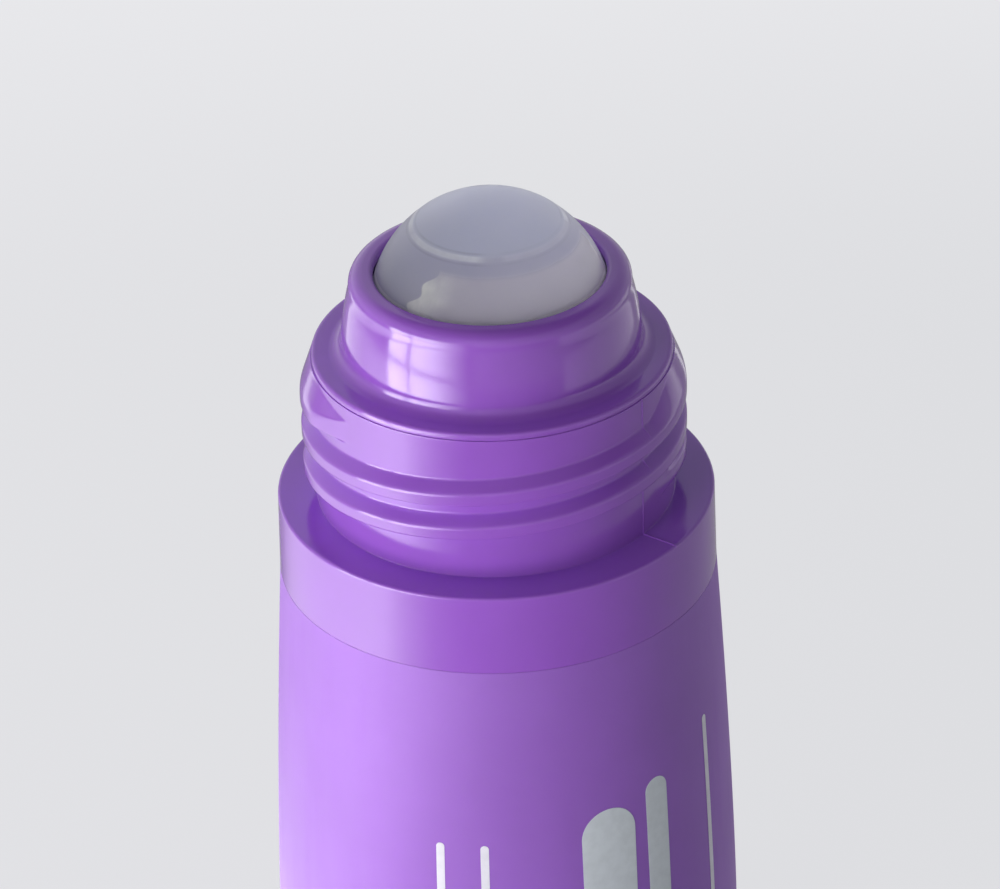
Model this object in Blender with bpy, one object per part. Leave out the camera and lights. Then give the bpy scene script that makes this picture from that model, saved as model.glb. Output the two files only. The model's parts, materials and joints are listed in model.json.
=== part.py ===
"""Roll-on deodorant bottle with its cap off, in metres, +Z up.

The origin is the centre of the base, on the surface that the bottle stands on.
The pieces are turned shapes about +Z. The ball turns about an axis through its centre.
"""
import math

import bmesh
import bpy
from mathutils import Vector

# Clearances
GAP = 0.0003
WELD_GAP = 0.0002
OVERRUN = 0.002

# Facets
RING_STEPS = 48
STEP = math.tau / RING_STEPS

# Ball: a standard one-inch roll-on ball, welded from two hollow halves
BALL_RADIUS = 0.0127
BALL_WALL = 0.0018
SPIGOT_HEIGHT = 0.0009
BALL_FACETS = 9
HOLLOW_FACETS = 5

# Heights, upwards from the surface that the bottle stands on
SHOULDER_HEIGHT = 0.060
NECK_HEIGHT = 0.0160
BALL_RISE = 0.0052

# Bottle. Its radii are worked out below, outwards from the ball and its housing
NECK_STEP = 0.0003
NECK_WALL = 0.0019
NECK_TOP_ROUND = 0.0003
NECK_TOP_FACETS = 2
NECK_BORE_CHAMFER = 0.0004
NECK_FOOT_ROUND = 0.0004
SHOULDER_WIDTH = 0.0041
SHOULDER_EDGE_ROUND = 0.0004
SHOULDER_WALL = 0.0018
SHOULDER_INNER_ROUND = 0.0012
BAND_HEIGHT = 0.0090
BAND_FLARE = 0.0002
LAND_HEIGHT = 0.0060
VESSEL_INSET = 0.0016
VESSEL_WALL = 0.0011
VESSEL_TAPER_HEIGHT = 0.0035
VESSEL_CORNER = 0.0032

# Neck thread: two starts, right-handed
THREAD_STARTS = 2
THREAD_LEAD = 0.0080
THREAD_DEPTH = 0.0012
THREAD_UPPER_FLANK = 0.00110
THREAD_LAND = 0.00130
THREAD_LOWER_FLANK = 0.00030
THREAD_TOP_DROP = 0.00134
THREAD_FOOT_SPACE = 0.00240
THREAD_FADE_STEPS = 5
THREAD_END_STEP = 5
THREAD_END_DEPTH = 0.00006
# Over its last steps the upper flank rises to the round of the neck's top
THREAD_RISE_STEPS = 9
THREAD_RISE_RUN = 2
THREAD_RISE_MARGIN = 0.0001

# Outer sleeve
SLEEVE_WALL = 0.0012
SLEEVE_TOP_LIP = 0.0004
SLEEVE_FLARE = 0.0024
SLEEVE_FLARE_POWER = 1.45
SLEEVE_FLARE_RINGS = 7
SLEEVE_FOOT_ROUND = 0.0012

# Base plug
PLUG_FLOOR = 0.0016
PLUG_RIM_HEIGHT = 0.0050
PLUG_RIM_WALL = 0.0012
PLUG_STAND_WIDTH = 0.0040
PLUG_HOLLOW_DEPTH = 0.0008
PLUG_HOLLOW_BEVEL = 0.0008
PLUG_SEAT_HEIGHT = 0.0012
PLUG_SEAT_WALL = 0.0012
PLUG_SEAT_INSET = 0.0046

# Ball housing
FLANGE_LEDGE = 0.0018
FLANGE_HEIGHT = 0.0010
FLANGE_ROUND = 0.00065
TOWER_TOP_WALL = 0.0017
TOWER_SPREAD = 0.0011
TOWER_BULGE = 0.00012
TOWER_FACETS = 4
TOWER_FILLET = 0.0013
RIM_ROUND = 0.0015
LIP_HOLD = 0.0007
LIP_LAND = 0.0001
LIP_ROUND = 0.0005
CUP_WALL = 0.0012
CUP_FACETS = 10
CUP_FOOT_ANGLE = math.radians(-46)
SKIRT_LENGTH = 0.0085
SKIRT_WALL = 0.0012
SKIRT_CHAMFER = 0.0005
SKIRT_ROOT_DROP = 0.0014
FEED_SLOTS = 6
FEED_SLOT_WIDTH = 0.0020
FEED_SLOT_DEPTH = 0.0018

# Contents: 50 ml of liquid, with air between it and the underside of the shoulder
AIR_HEIGHT = 0.0088

# Places that follow from the sizes
NECK_TOP = SHOULDER_HEIGHT + NECK_HEIGHT
BALL_CENTRE = NECK_TOP + BALL_RISE
SEAT_RADIUS = BALL_RADIUS + GAP
LIP_RADIUS = SEAT_RADIUS - LIP_HOLD
TOWER_TOP_RADIUS = SEAT_RADIUS + TOWER_TOP_WALL
TOWER_FOOT_RADIUS = TOWER_TOP_RADIUS + TOWER_SPREAD
FLANGE_RADIUS = TOWER_FOOT_RADIUS + TOWER_FILLET + FLANGE_LEDGE
NECK_RADIUS = FLANGE_RADIUS + NECK_STEP
NECK_BORE = NECK_RADIUS - NECK_WALL
THREAD_SECTION_HEIGHT = THREAD_UPPER_FLANK + THREAD_LAND + THREAD_LOWER_FLANK
THREAD_DESCENT = NECK_HEIGHT - THREAD_TOP_DROP - THREAD_SECTION_HEIGHT - THREAD_FOOT_SPACE
THREAD_STEPS = int(RING_STEPS * THREAD_DESCENT / THREAD_LEAD)
SHOULDER_RADIUS = NECK_RADIUS + SHOULDER_WIDTH
BAND_FOOT_RADIUS = SHOULDER_RADIUS + BAND_FLARE
BAND_FOOT = SHOULDER_HEIGHT - BAND_HEIGHT
LAND_RADIUS = BAND_FOOT_RADIUS - SLEEVE_WALL - GAP
LAND_FOOT = BAND_FOOT - LAND_HEIGHT
VESSEL_RADIUS = LAND_RADIUS - VESSEL_INSET
VESSEL_TOP = LAND_FOOT - VESSEL_TAPER_HEIGHT
PLUG_SEAT_TOP = PLUG_HOLLOW_DEPTH + PLUG_FLOOR + PLUG_SEAT_HEIGHT
VESSEL_FOOT = PLUG_SEAT_TOP + GAP
VESSEL_BORE = VESSEL_RADIUS - VESSEL_WALL
FILL_FOOT = VESSEL_FOOT + VESSEL_WALL + GAP
FILL_TOP = SHOULDER_HEIGHT - SHOULDER_WALL - AIR_HEIGHT
SLEEVE_TOP = BAND_FOOT - GAP
SLEEVE_FOOT_RADIUS = BAND_FOOT_RADIUS + SLEEVE_FLARE


def arc(centre_r, centre_z, radius, first, last, facets):
    """Points (r, z) on an arc, from angle first to angle last in degrees."""
    points = []
    for i in range(facets + 1):
        angle = math.radians(first + (last - first) * i / facets)
        points.append((centre_r + radius * math.cos(angle), centre_z + radius * math.sin(angle)))
    return points


def bulged(first, last, bulge, facets):
    """Points between two points (r, z), standing outwards by bulge in the middle of the way."""
    points = []
    for i in range(1, facets):
        share = i / facets
        r = first[0] + (last[0] - first[0]) * share + 4 * bulge * share * (1 - share)
        points.append((r, first[1] + (last[1] - first[1]) * share))
    return points


def ring_point(r, z, turn):
    return Vector((r * math.cos(turn), r * math.sin(turn), z))


def make_material(name, colour, roughness, alpha=1.0):
    material = bpy.data.materials.new(name)
    material.use_nodes = True
    shader = material.node_tree.nodes["Principled BSDF"]
    shader.inputs["Base Color"].default_value = (*colour, 1)
    shader.inputs["Roughness"].default_value = roughness
    shader.inputs["Metallic"].default_value = 0
    shader.inputs["Alpha"].default_value = alpha
    return material


def add_object(name, mesh_builder, material, origin_z=0):
    """Make an object of a bmesh, with its origin on the Z axis at origin_z."""
    bmesh.ops.translate(mesh_builder, verts=mesh_builder.verts, vec=(0, 0, -origin_z))
    bmesh.ops.recalc_face_normals(mesh_builder, faces=mesh_builder.faces)
    mesh = bpy.data.meshes.new(name)
    mesh_builder.to_mesh(mesh)
    mesh_builder.free()
    mesh.shade_smooth()
    mesh.set_sharp_from_angle(angle=math.radians(30))
    mesh.materials.append(material)
    piece = bpy.data.objects.new(name, mesh)
    piece.location.z = origin_z
    bpy.context.scene.collection.objects.link(piece)
    return piece


def turned(outline, open_strip=None):
    """Turn a closed outline of (r, z) points about Z. A point at r = 0 becomes a pole.

    The strip that starts at point open_strip is left out. Gives the bmesh and its rings.
    """
    mesh_builder = bmesh.new()
    rings = []
    for r, z in outline:
        if r == 0:
            rings.append([mesh_builder.verts.new((0, 0, z))])
        else:
            rings.append([mesh_builder.verts.new(ring_point(r, z, STEP * i)) for i in range(RING_STEPS)])
    for strip, (first, second) in enumerate(zip(rings, rings[1:] + rings[:1])):
        if strip == open_strip:
            continue
        for i in range(RING_STEPS):
            j = (i + 1) % RING_STEPS
            if len(first) > 1 and len(second) > 1:
                mesh_builder.faces.new((first[i], first[j], second[j], second[i]))
            elif len(first) > 1:
                mesh_builder.faces.new((first[i], first[j], second[0]))
            elif len(second) > 1:
                mesh_builder.faces.new((first[0], second[j], second[i]))
    return mesh_builder, rings


def cut_from(piece, cutter):
    """Cut a piece with a helper, which stays in the scene as a wire guide."""
    cutter.hide_render = True
    cutter.display_type = "WIRE"
    modifier = piece.modifiers.new("Cut", "BOOLEAN")
    modifier.operation = "DIFFERENCE"
    modifier.solver = "EXACT"
    modifier.object = cutter


def sleeve_radius(z):
    """Outer radius of the sleeve: it flares fast under the band, then runs nearly straight to the foot."""
    share = (SLEEVE_TOP - z) / SLEEVE_TOP
    rise = 1 - (1 - share) ** SLEEVE_FLARE_POWER
    return BAND_FOOT_RADIUS + (SLEEVE_FOOT_RADIUS - BAND_FOOT_RADIUS) * rise


def bottle_outline():
    shoulder = SHOULDER_HEIGHT
    edge_r = SHOULDER_RADIUS - SHOULDER_EDGE_ROUND
    edge_z = shoulder - SHOULDER_EDGE_ROUND
    land_bore = LAND_RADIUS - VESSEL_WALL
    ceiling = shoulder - SHOULDER_WALL
    ceiling_round = SHOULDER_INNER_ROUND
    foot_r = NECK_RADIUS + NECK_FOOT_ROUND
    top_r = NECK_RADIUS - NECK_TOP_ROUND
    outline = arc(top_r, NECK_TOP - NECK_TOP_ROUND, NECK_TOP_ROUND, 90, 0, NECK_TOP_FACETS)
    outline += arc(foot_r, shoulder + NECK_FOOT_ROUND, NECK_FOOT_ROUND, 180, 270, 1)
    outline += arc(edge_r, edge_z, SHOULDER_EDGE_ROUND, 90, 0, 2)
    outline += [(BAND_FOOT_RADIUS, BAND_FOOT), (LAND_RADIUS, BAND_FOOT)]
    outline += [(LAND_RADIUS, LAND_FOOT), (VESSEL_RADIUS, VESSEL_TOP)]
    outline += arc(VESSEL_RADIUS - VESSEL_CORNER, VESSEL_FOOT + VESSEL_CORNER, VESSEL_CORNER, 0, -90, 3)
    outline += [(0, VESSEL_FOOT)]
    inner_corner = VESSEL_CORNER - VESSEL_WALL
    outline += [(0, VESSEL_FOOT + VESSEL_WALL)]
    outline += arc(VESSEL_BORE - inner_corner, VESSEL_FOOT + VESSEL_CORNER, inner_corner, -90, 0, 2)
    outline += [(VESSEL_BORE, VESSEL_TOP), (land_bore, LAND_FOOT)]
    outline += arc(land_bore - ceiling_round, ceiling - ceiling_round, ceiling_round, 0, 90, 2)
    outline += [(NECK_BORE, ceiling), (NECK_BORE, NECK_TOP - NECK_BORE_CHAMFER)]
    outline += [(NECK_BORE + NECK_BORE_CHAMFER, NECK_TOP)]
    return outline


def thread_section(mesh_builder, start, step):
    """Four corners of the thread ridge, top to bottom, at one step down from its upper end.

    Near that end the upper flank rises to the neck's top round.
    """
    turn = STEP * thread_column(start, step)
    top = NECK_TOP - THREAD_TOP_DROP - THREAD_LEAD * step / RING_STEPS
    from_end = min(step, THREAD_STEPS - step)
    fade = min(1, from_end / THREAD_FADE_STEPS)
    depth = max(THREAD_END_DEPTH, THREAD_DEPTH * fade)
    crest_foot = top - THREAD_UPPER_FLANK - THREAD_LAND
    rise = min(1, max(0, (THREAD_RISE_STEPS - step) / THREAD_RISE_RUN))
    room = NECK_TOP - NECK_TOP_ROUND - THREAD_RISE_MARGIN - top
    corners = (
        (NECK_RADIUS, top + room * rise),
        (NECK_RADIUS + depth, top - THREAD_UPPER_FLANK * fade),
        (NECK_RADIUS + depth, crest_foot),
        (NECK_RADIUS, crest_foot - THREAD_LOWER_FLANK),
    )
    return [mesh_builder.verts.new(ring_point(r, z, turn)) for r, z in corners]


def thread_column(start, step):
    """Which of the ring's columns a thread section stands in. The ridge climbs anticlockwise."""
    return (start * RING_STEPS // THREAD_STARTS + THREAD_END_STEP - step) % RING_STEPS


def add_ridge_faces(mesh_builder, sections):
    for above, below in zip(sections, sections[1:]):
        for i in range(len(above) - 1):
            mesh_builder.faces.new((above[i], above[i + 1], below[i + 1], below[i]))
    mesh_builder.faces.new(sections[0])
    mesh_builder.faces.new(sections[-1])


def ends_between(others, high, low):
    """Corners where a ridge ends on one column of the wall, from high to low."""
    found = [section for section in others if low.co.z < section[0].co.z < high.co.z]
    found.sort(key=lambda section: -section[0].co.z)
    return [corner for section in found for corner in (section[0], section[-1])]


def add_threaded_wall(mesh_builder, upper_ring, lower_ring):
    """The neck's wall between two rings, with the thread's ridges standing on it."""
    ridges = []
    for start in range(THREAD_STARTS):
        ridges.append([thread_section(mesh_builder, start, step) for step in range(THREAD_STEPS + 1)])
        add_ridge_faces(mesh_builder, ridges[-1])
    columns = [[] for _ in range(RING_STEPS)]
    for start, sections in enumerate(ridges):
        for step, section in enumerate(sections):
            columns[thread_column(start, step)].append((start, step, section))
    for i in range(RING_STEPS):
        j = (i + 1) % RING_STEPS
        crossing = []
        for start, step, section in columns[j]:
            if step < THREAD_STEPS:
                crossing.append((ridges[start][step + 1], section))
        crossing.sort(key=lambda pair: -pair[0][0].co.z)
        left_ends = [s for _, _, s in columns[i] if all(s is not left for left, _ in crossing)]
        right_ends = [s for _, _, s in columns[j] if all(s is not right for _, right in crossing)]
        tops = [(upper_ring[i], upper_ring[j])] + [(left[-1], right[-1]) for left, right in crossing]
        feet = [(left[0], right[0]) for left, right in crossing] + [(lower_ring[i], lower_ring[j])]
        for (left_top, right_top), (left_foot, right_foot) in zip(tops, feet):
            left_side = [left_top, *ends_between(left_ends, left_top, left_foot), left_foot]
            right_side = [right_top, *ends_between(right_ends, right_top, right_foot), right_foot]
            mesh_builder.faces.new(left_side + right_side[::-1])


def make_bottle(material):
    wall_strip = NECK_TOP_FACETS
    mesh_builder, rings = turned(bottle_outline(), wall_strip)
    add_threaded_wall(mesh_builder, rings[wall_strip], rings[wall_strip + 1])
    add_object("bottle", mesh_builder, material)


def make_sleeve(material):
    foot_start = SLEEVE_FOOT_ROUND
    outer = []
    for i in range(SLEEVE_FLARE_RINGS + 1):
        # The rings lie closer together near the top, where the flare is quickest
        share = (i / SLEEVE_FLARE_RINGS) ** SLEEVE_FLARE_POWER
        z = SLEEVE_TOP - SLEEVE_TOP_LIP - (SLEEVE_TOP - SLEEVE_TOP_LIP - foot_start) * share
        outer.append((sleeve_radius(z), z))
    outline = [(sleeve_radius(SLEEVE_TOP) - SLEEVE_TOP_LIP, SLEEVE_TOP)] + outer
    foot_r = outer[-1][0] - SLEEVE_FOOT_ROUND
    outline += arc(foot_r, foot_start, SLEEVE_FOOT_ROUND, 0, -90, 2)[1:]
    outline += [(foot_r - GAP, 0)]
    outline += [(r - SLEEVE_WALL, z) for r, z in reversed(outer[1:])]
    outline += [(LAND_RADIUS + GAP, LAND_FOOT - GAP), (LAND_RADIUS + GAP, SLEEVE_TOP)]
    add_object("outer_sleeve", turned(outline)[0], material)


def make_base_plug(material):
    rim_r = sleeve_radius(PLUG_RIM_HEIGHT) - SLEEVE_WALL - GAP
    foot_r = sleeve_radius(SLEEVE_FOOT_ROUND) - SLEEVE_FOOT_ROUND - GAP - GAP
    hollow_r = foot_r - PLUG_STAND_WIDTH
    floor_top = PLUG_HOLLOW_DEPTH + PLUG_FLOOR
    seat_r = VESSEL_RADIUS - PLUG_SEAT_INSET
    outline = [
        (foot_r, 0),
        (rim_r, SLEEVE_FOOT_ROUND),
        (rim_r, PLUG_RIM_HEIGHT),
        (rim_r - PLUG_RIM_WALL, PLUG_RIM_HEIGHT),
        (rim_r - PLUG_RIM_WALL, floor_top),
        (seat_r, floor_top),
        (seat_r, PLUG_SEAT_TOP),
        (seat_r - PLUG_SEAT_WALL, PLUG_SEAT_TOP),
        (seat_r - PLUG_SEAT_WALL, floor_top),
        (0, floor_top),
        (0, PLUG_HOLLOW_DEPTH),
        (hollow_r - PLUG_HOLLOW_BEVEL, PLUG_HOLLOW_DEPTH),
        (hollow_r, 0),
    ]
    add_object("base_plug", turned(outline)[0], material)


def housing_outline():
    centre = BALL_CENTRE
    lip_angle = math.acos(LIP_RADIUS / SEAT_RADIUS)
    lip_z = centre + SEAT_RADIUS * math.sin(lip_angle) + LIP_LAND
    rim_top = lip_z + LIP_ROUND
    flange_foot = NECK_TOP + GAP
    flange_top = NECK_TOP + FLANGE_HEIGHT
    fillet_r = TOWER_FOOT_RADIUS + TOWER_FILLET
    skirt_r = NECK_BORE - GAP
    skirt_foot = flange_foot - SKIRT_LENGTH
    skirt_bore = skirt_r - SKIRT_WALL
    ceiling = flange_foot - SKIRT_ROOT_DROP
    cup_outer = SEAT_RADIUS + CUP_WALL
    tower_top = (TOWER_TOP_RADIUS, rim_top - RIM_ROUND)
    tower_foot = (TOWER_FOOT_RADIUS, flange_top + TOWER_FILLET)
    outline = arc(LIP_RADIUS + LIP_ROUND, lip_z, LIP_ROUND, 180, 90, 2)
    outline += arc(TOWER_TOP_RADIUS - RIM_ROUND, rim_top - RIM_ROUND, RIM_ROUND, 90, 0, 4)
    outline += bulged(tower_top, tower_foot, TOWER_BULGE, TOWER_FACETS)
    outline += arc(fillet_r, flange_top + TOWER_FILLET, TOWER_FILLET, 180, 270, 3)
    outline += arc(FLANGE_RADIUS - FLANGE_ROUND, flange_top - FLANGE_ROUND, FLANGE_ROUND, 90, 0, 3)
    outline += [(FLANGE_RADIUS, flange_foot), (skirt_r, flange_foot)]
    outline += [(skirt_r, skirt_foot + SKIRT_CHAMFER), (skirt_r - SKIRT_CHAMFER, skirt_foot)]
    outline += [(skirt_bore, skirt_foot), (skirt_bore, ceiling)]
    cup_start = math.degrees(math.asin((ceiling - centre) / cup_outer))
    cup_end = math.degrees(CUP_FOOT_ANGLE)
    outline += arc(0, centre, cup_outer, cup_start, cup_end, 3)
    outline += arc(0, centre, SEAT_RADIUS, cup_end, math.degrees(lip_angle), CUP_FACETS)
    return outline


def feed_slot_cutter():
    """A star of bars under the ball, which cuts the slots that feed the liquid to it."""
    cup_outer = SEAT_RADIUS + CUP_WALL
    foot_z = BALL_CENTRE + cup_outer * math.sin(CUP_FOOT_ANGLE)
    half_length = cup_outer * math.cos(CUP_FOOT_ANGLE) + OVERRUN
    mesh_builder = bmesh.new()
    half_width = FEED_SLOT_WIDTH / 2
    top = foot_z + FEED_SLOT_DEPTH
    bottom = foot_z - OVERRUN
    hub_r = half_width / math.sin(math.pi / FEED_SLOTS)
    rim = []
    for i in range(FEED_SLOTS):
        turn = i * math.tau / FEED_SLOTS
        along = Vector((math.cos(turn), math.sin(turn), 0))
        across = Vector((-math.sin(turn), math.cos(turn), 0))
        rim.append(along * half_length - across * half_width)
        rim.append(along * half_length + across * half_width)
        between = turn + math.pi / FEED_SLOTS
        rim.append(Vector((hub_r * math.cos(between), hub_r * math.sin(between), 0)))
    low = [mesh_builder.verts.new((p.x, p.y, bottom)) for p in rim]
    high = [mesh_builder.verts.new((p.x, p.y, top)) for p in rim]
    for i in range(len(rim)):
        j = (i + 1) % len(rim)
        mesh_builder.faces.new((low[i], low[j], high[j], high[i]))
    mesh_builder.faces.new(high)
    mesh_builder.faces.new(list(reversed(low)))
    return mesh_builder


def make_housing(material):
    housing = add_object("ball_housing", turned(housing_outline())[0], material)
    cutter = add_object("feed_slot_guide", feed_slot_cutter(), material)
    cut_from(housing, cutter)


def make_ball(material):
    """Two hollow halves. The lower one has a spigot that locates in the upper one's recess."""
    hollow = BALL_RADIUS - BALL_WALL
    middle = (BALL_RADIUS + hollow) / 2
    half_gap = WELD_GAP / 2
    spigot_r = middle - half_gap
    recess_r = middle + half_gap
    seam_angle = math.degrees(math.asin(half_gap / BALL_RADIUS))
    upper = arc(0, 0, BALL_RADIUS, 90, seam_angle, BALL_FACETS)[1:]
    upper = [(0, BALL_RADIUS)] + upper
    recess_top = SPIGOT_HEIGHT + WELD_GAP
    upper += [(recess_r, half_gap), (recess_r, recess_top)]
    recess_angle = math.degrees(math.asin(recess_top / hollow))
    upper += arc(0, 0, hollow, recess_angle, 90, HOLLOW_FACETS)[:-1]
    upper += [(0, hollow)]
    lower = [(0, -BALL_RADIUS)] + arc(0, 0, BALL_RADIUS, -90, -seam_angle, BALL_FACETS)[1:]
    lower += [(spigot_r, -half_gap), (spigot_r, SPIGOT_HEIGHT), (hollow, SPIGOT_HEIGHT)]
    lower += arc(0, 0, hollow, 0, -90, HOLLOW_FACETS)[:-1]
    lower += [(0, -hollow)]
    pivot = bpy.data.objects.new("ball_pivot", None)
    pivot.location.z = BALL_CENTRE
    bpy.context.scene.collection.objects.link(pivot)
    for name, outline in (("ball_upper_half", upper), ("ball_lower_half", lower)):
        half = add_object(name, turned(outline)[0], material)
        half.parent = pivot


def make_liquid(material):
    """The liquid, standing in the vessel under an air space."""
    radius = VESSEL_BORE - GAP
    corner = VESSEL_CORNER - VESSEL_WALL - GAP
    outline = [(0, FILL_TOP), (radius, FILL_TOP)]
    outline += arc(radius - corner, FILL_FOOT + corner, corner, 0, -90, 2)
    outline += [(0, FILL_FOOT)]
    add_object("deodorant_liquid", turned(outline)[0], material)


def main():
    for leftover in list(bpy.data.objects):
        bpy.data.objects.remove(leftover)
    gloss_purple = make_material("gloss_purple", (0.30, 0.10, 0.58), 0.22)
    satin_purple = make_material("satin_purple", (0.36, 0.14, 0.66), 0.48)
    make_bottle(gloss_purple)
    make_sleeve(satin_purple)
    make_base_plug(satin_purple.copy())
    make_housing(gloss_purple.copy())
    make_ball(make_material("frosted_ball", (0.34, 0.34, 0.42), 0.25))
    make_liquid(make_material("clear_liquid", (0.75, 0.75, 0.80), 0.1, 0.6))


main()
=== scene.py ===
import json
import math
from math import cos, pi, radians, sin, tau

import bmesh
import bpy
from mathutils import Matrix, Vector


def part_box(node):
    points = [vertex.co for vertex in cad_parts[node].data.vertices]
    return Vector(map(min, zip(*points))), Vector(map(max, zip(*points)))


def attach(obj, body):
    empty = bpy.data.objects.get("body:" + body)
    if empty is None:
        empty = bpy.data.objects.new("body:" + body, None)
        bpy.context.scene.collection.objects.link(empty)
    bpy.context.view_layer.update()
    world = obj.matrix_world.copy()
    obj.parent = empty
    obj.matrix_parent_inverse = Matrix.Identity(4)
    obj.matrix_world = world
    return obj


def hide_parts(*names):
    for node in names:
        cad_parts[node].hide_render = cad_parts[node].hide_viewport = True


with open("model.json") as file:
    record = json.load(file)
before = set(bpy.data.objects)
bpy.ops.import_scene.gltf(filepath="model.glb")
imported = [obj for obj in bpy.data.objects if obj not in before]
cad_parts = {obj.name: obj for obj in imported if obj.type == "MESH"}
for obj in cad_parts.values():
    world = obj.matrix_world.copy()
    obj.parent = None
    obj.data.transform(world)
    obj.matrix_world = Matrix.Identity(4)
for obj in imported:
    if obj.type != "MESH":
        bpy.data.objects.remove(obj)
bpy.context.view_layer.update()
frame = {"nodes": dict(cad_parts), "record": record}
mm = 0.001

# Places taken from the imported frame
neckRaise = 0.22 * mm  # closes the solids' clearance under the flange
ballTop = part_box("ball_upper_half")[1]
ballRadius = ballTop.x
ballCentre = ballTop.z - ballRadius
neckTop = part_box("bottle")[1].z + neckRaise
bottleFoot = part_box("bottle")[0].z
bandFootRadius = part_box("bottle")[1].x
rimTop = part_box("ball_housing")[1].z
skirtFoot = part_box("ball_housing")[0].z
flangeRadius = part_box("ball_housing")[1].x
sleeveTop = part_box("outer_sleeve")[1].z
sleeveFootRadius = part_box("outer_sleeve")[1].x
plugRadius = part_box("base_plug")[1].x
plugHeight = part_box("base_plug")[1].z
shoulder = next(m["pos_m"][2] for m in frame["record"]["mounts"] if m["name"] == "cap_seat")


# Camera, matched to the ellipses of the ball, neck, shoulder and band
cameraView = dict(
    distance=450 * mm,
    elevation=radians(28.93),
    roll=radians(-1.681),
    aim=(0.529 * mm, 0, -16.696 * mm),
    lens=155.31,
    clipStart=10 * mm,
)


def addCamera():
    v = cameraView
    centre = Vector((0, 0, ballCentre))
    place = centre + Vector((0, -cos(v["elevation"]), sin(v["elevation"]))) * v["distance"]
    forward = (centre + Vector(v["aim"]) - place).normalized()
    side = forward.cross(Vector((0, 0, 1))).normalized()
    up = side.cross(forward)
    c, s = cos(v["roll"]), sin(v["roll"])
    turned = Matrix((side * c + up * s, up * c - side * s, -forward)).transposed().to_4x4()
    turned.translation = place
    camera = bpy.data.cameras.new("camera")
    camera.lens = v["lens"]
    camera.clip_start = v["clipStart"]
    rig = addObject("camera", camera)
    rig.matrix_world = turned
    bpy.context.scene.camera = rig
    print("camera placed")


def addObject(name, data):
    made = bpy.data.objects.new(name, data)
    bpy.context.scene.collection.objects.link(made)
    return made


def onCircle(radius, turn, z):
    return radius * cos(turn), radius * sin(turn), z


# An output of a node, in a shader tree or a geometry tree. Plain arithmetic on it adds math nodes
class Level:
    def __init__(self, socket):
        self.socket = socket
        self.tree = socket.id_data

    def __add__(self, other):
        return calc("ADD", self, other)

    def __sub__(self, other):
        return calc("SUBTRACT", self, other)

    def __rsub__(self, other):
        return calc("SUBTRACT", other, self)

    def __mul__(self, other):
        return calc("MULTIPLY", self, other)

    def __truediv__(self, other):
        return calc("DIVIDE", self, other)

    def __neg__(self):
        return calc("MULTIPLY", self, -1.0)


def wire(socket, value):
    if isinstance(value, Level):
        value.tree.links.new(value.socket, socket)
    else:
        socket.default_value = value


def wireAll(sockets, values):
    for entry, value in values.items():
        wire(sockets[entry], value)


# Adds a node, sets its options and fills its inputs, which go by name or by number
def addNode(tree, kind, inputs=None, **options):
    node = tree.nodes.new(kind)
    for option, value in options.items():
        setattr(node, option, value)
    wireAll(node.inputs, inputs or {})
    return node


def output(tree, kind, inputs=None, **options):
    return Level(addNode(tree, kind, inputs, **options).outputs[0])


def levels(node):
    return {socket.name: Level(socket) for socket in node.outputs if socket.name}


def calc(operation, *values):
    tree = next(value.tree for value in values if isinstance(value, Level))
    return output(tree, "ShaderNodeMath", dict(enumerate(values)), operation=operation)


def span(value, low, high, toLow=0.0, toHigh=1.0, smooth=False):
    inputs = {"Value": value, "From Min": low, "From Max": high, "To Min": toLow, "To Max": toHigh}
    slope = "SMOOTHSTEP" if smooth else "LINEAR"
    return output(value.tree, "ShaderNodeMapRange", inputs, interpolation_type=slope)


def split(vector):
    return levels(addNode(vector.tree, "ShaderNodeSeparateXYZ", {0: vector})).values()


def scaled(vector, factor):
    return output(vector.tree, "ShaderNodeVectorMath", {0: vector, "Scale": factor}, operation="SCALE")


# Share of a full turn round the axis, from +X
def turnShare(x, y):
    return calc("ARCTAN2", -y, -x) / tau + 0.5


def newSockets(tree, direction, kind, *names):
    for name in names:
        tree.interface.new_socket(name, in_out=direction, socket_type="NodeSocket" + kind)


# Turned shapes. Columns crowd towards the two mould parting lines, whose fine flash is real mesh
columnPlan = dict(count=432, parting=radians(-37.3), crowding=0.85)


def evenAngles(count):
    return [tau * j / count for j in range(count)]


def columnAngles():
    plan = columnPlan
    return [plan["parting"] + v - plan["crowding"] / 2 * sin(2 * v) for v in evenAngles(plan["count"])]


# Rounds the corners of an outline of (r, z, rounding), and keeps a near neighbour ring on each straight stretch
def roundCorners(corners, support=0.12 * mm, facetTurn=radians(13)):
    outline = []
    for i, (r, z, rounding) in enumerate(corners):
        if rounding == 0:
            outline.append((r, z))
            continue
        here = Vector((r, z))
        before = Vector(corners[i - 1][:2])
        after = Vector(corners[(i + 1) % len(corners)][:2])
        inward = (before - here).normalized()
        onward = (after - here).normalized()
        half = inward.angle(onward) / 2
        reach = rounding / math.tan(half)
        centre = here + (inward + onward).normalized() * (rounding / sin(half))
        first = here + inward * reach
        last = here + onward * reach
        turn = pi - 2 * half
        facets = max(2, math.ceil(turn / facetTurn))
        if (before - here).length > reach + 2 * support:
            outline.append(tuple(first + inward * support))
        for k in range(facets + 1):
            share = k / facets
            spoke = (first - centre) * sin(turn * (1 - share)) + (last - centre) * sin(turn * share)
            outline.append(tuple(centre + spoke / sin(turn)))
        if (after - here).length > reach + 2 * support:
            outline.append(tuple(last + onward * support))
    return outline


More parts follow.
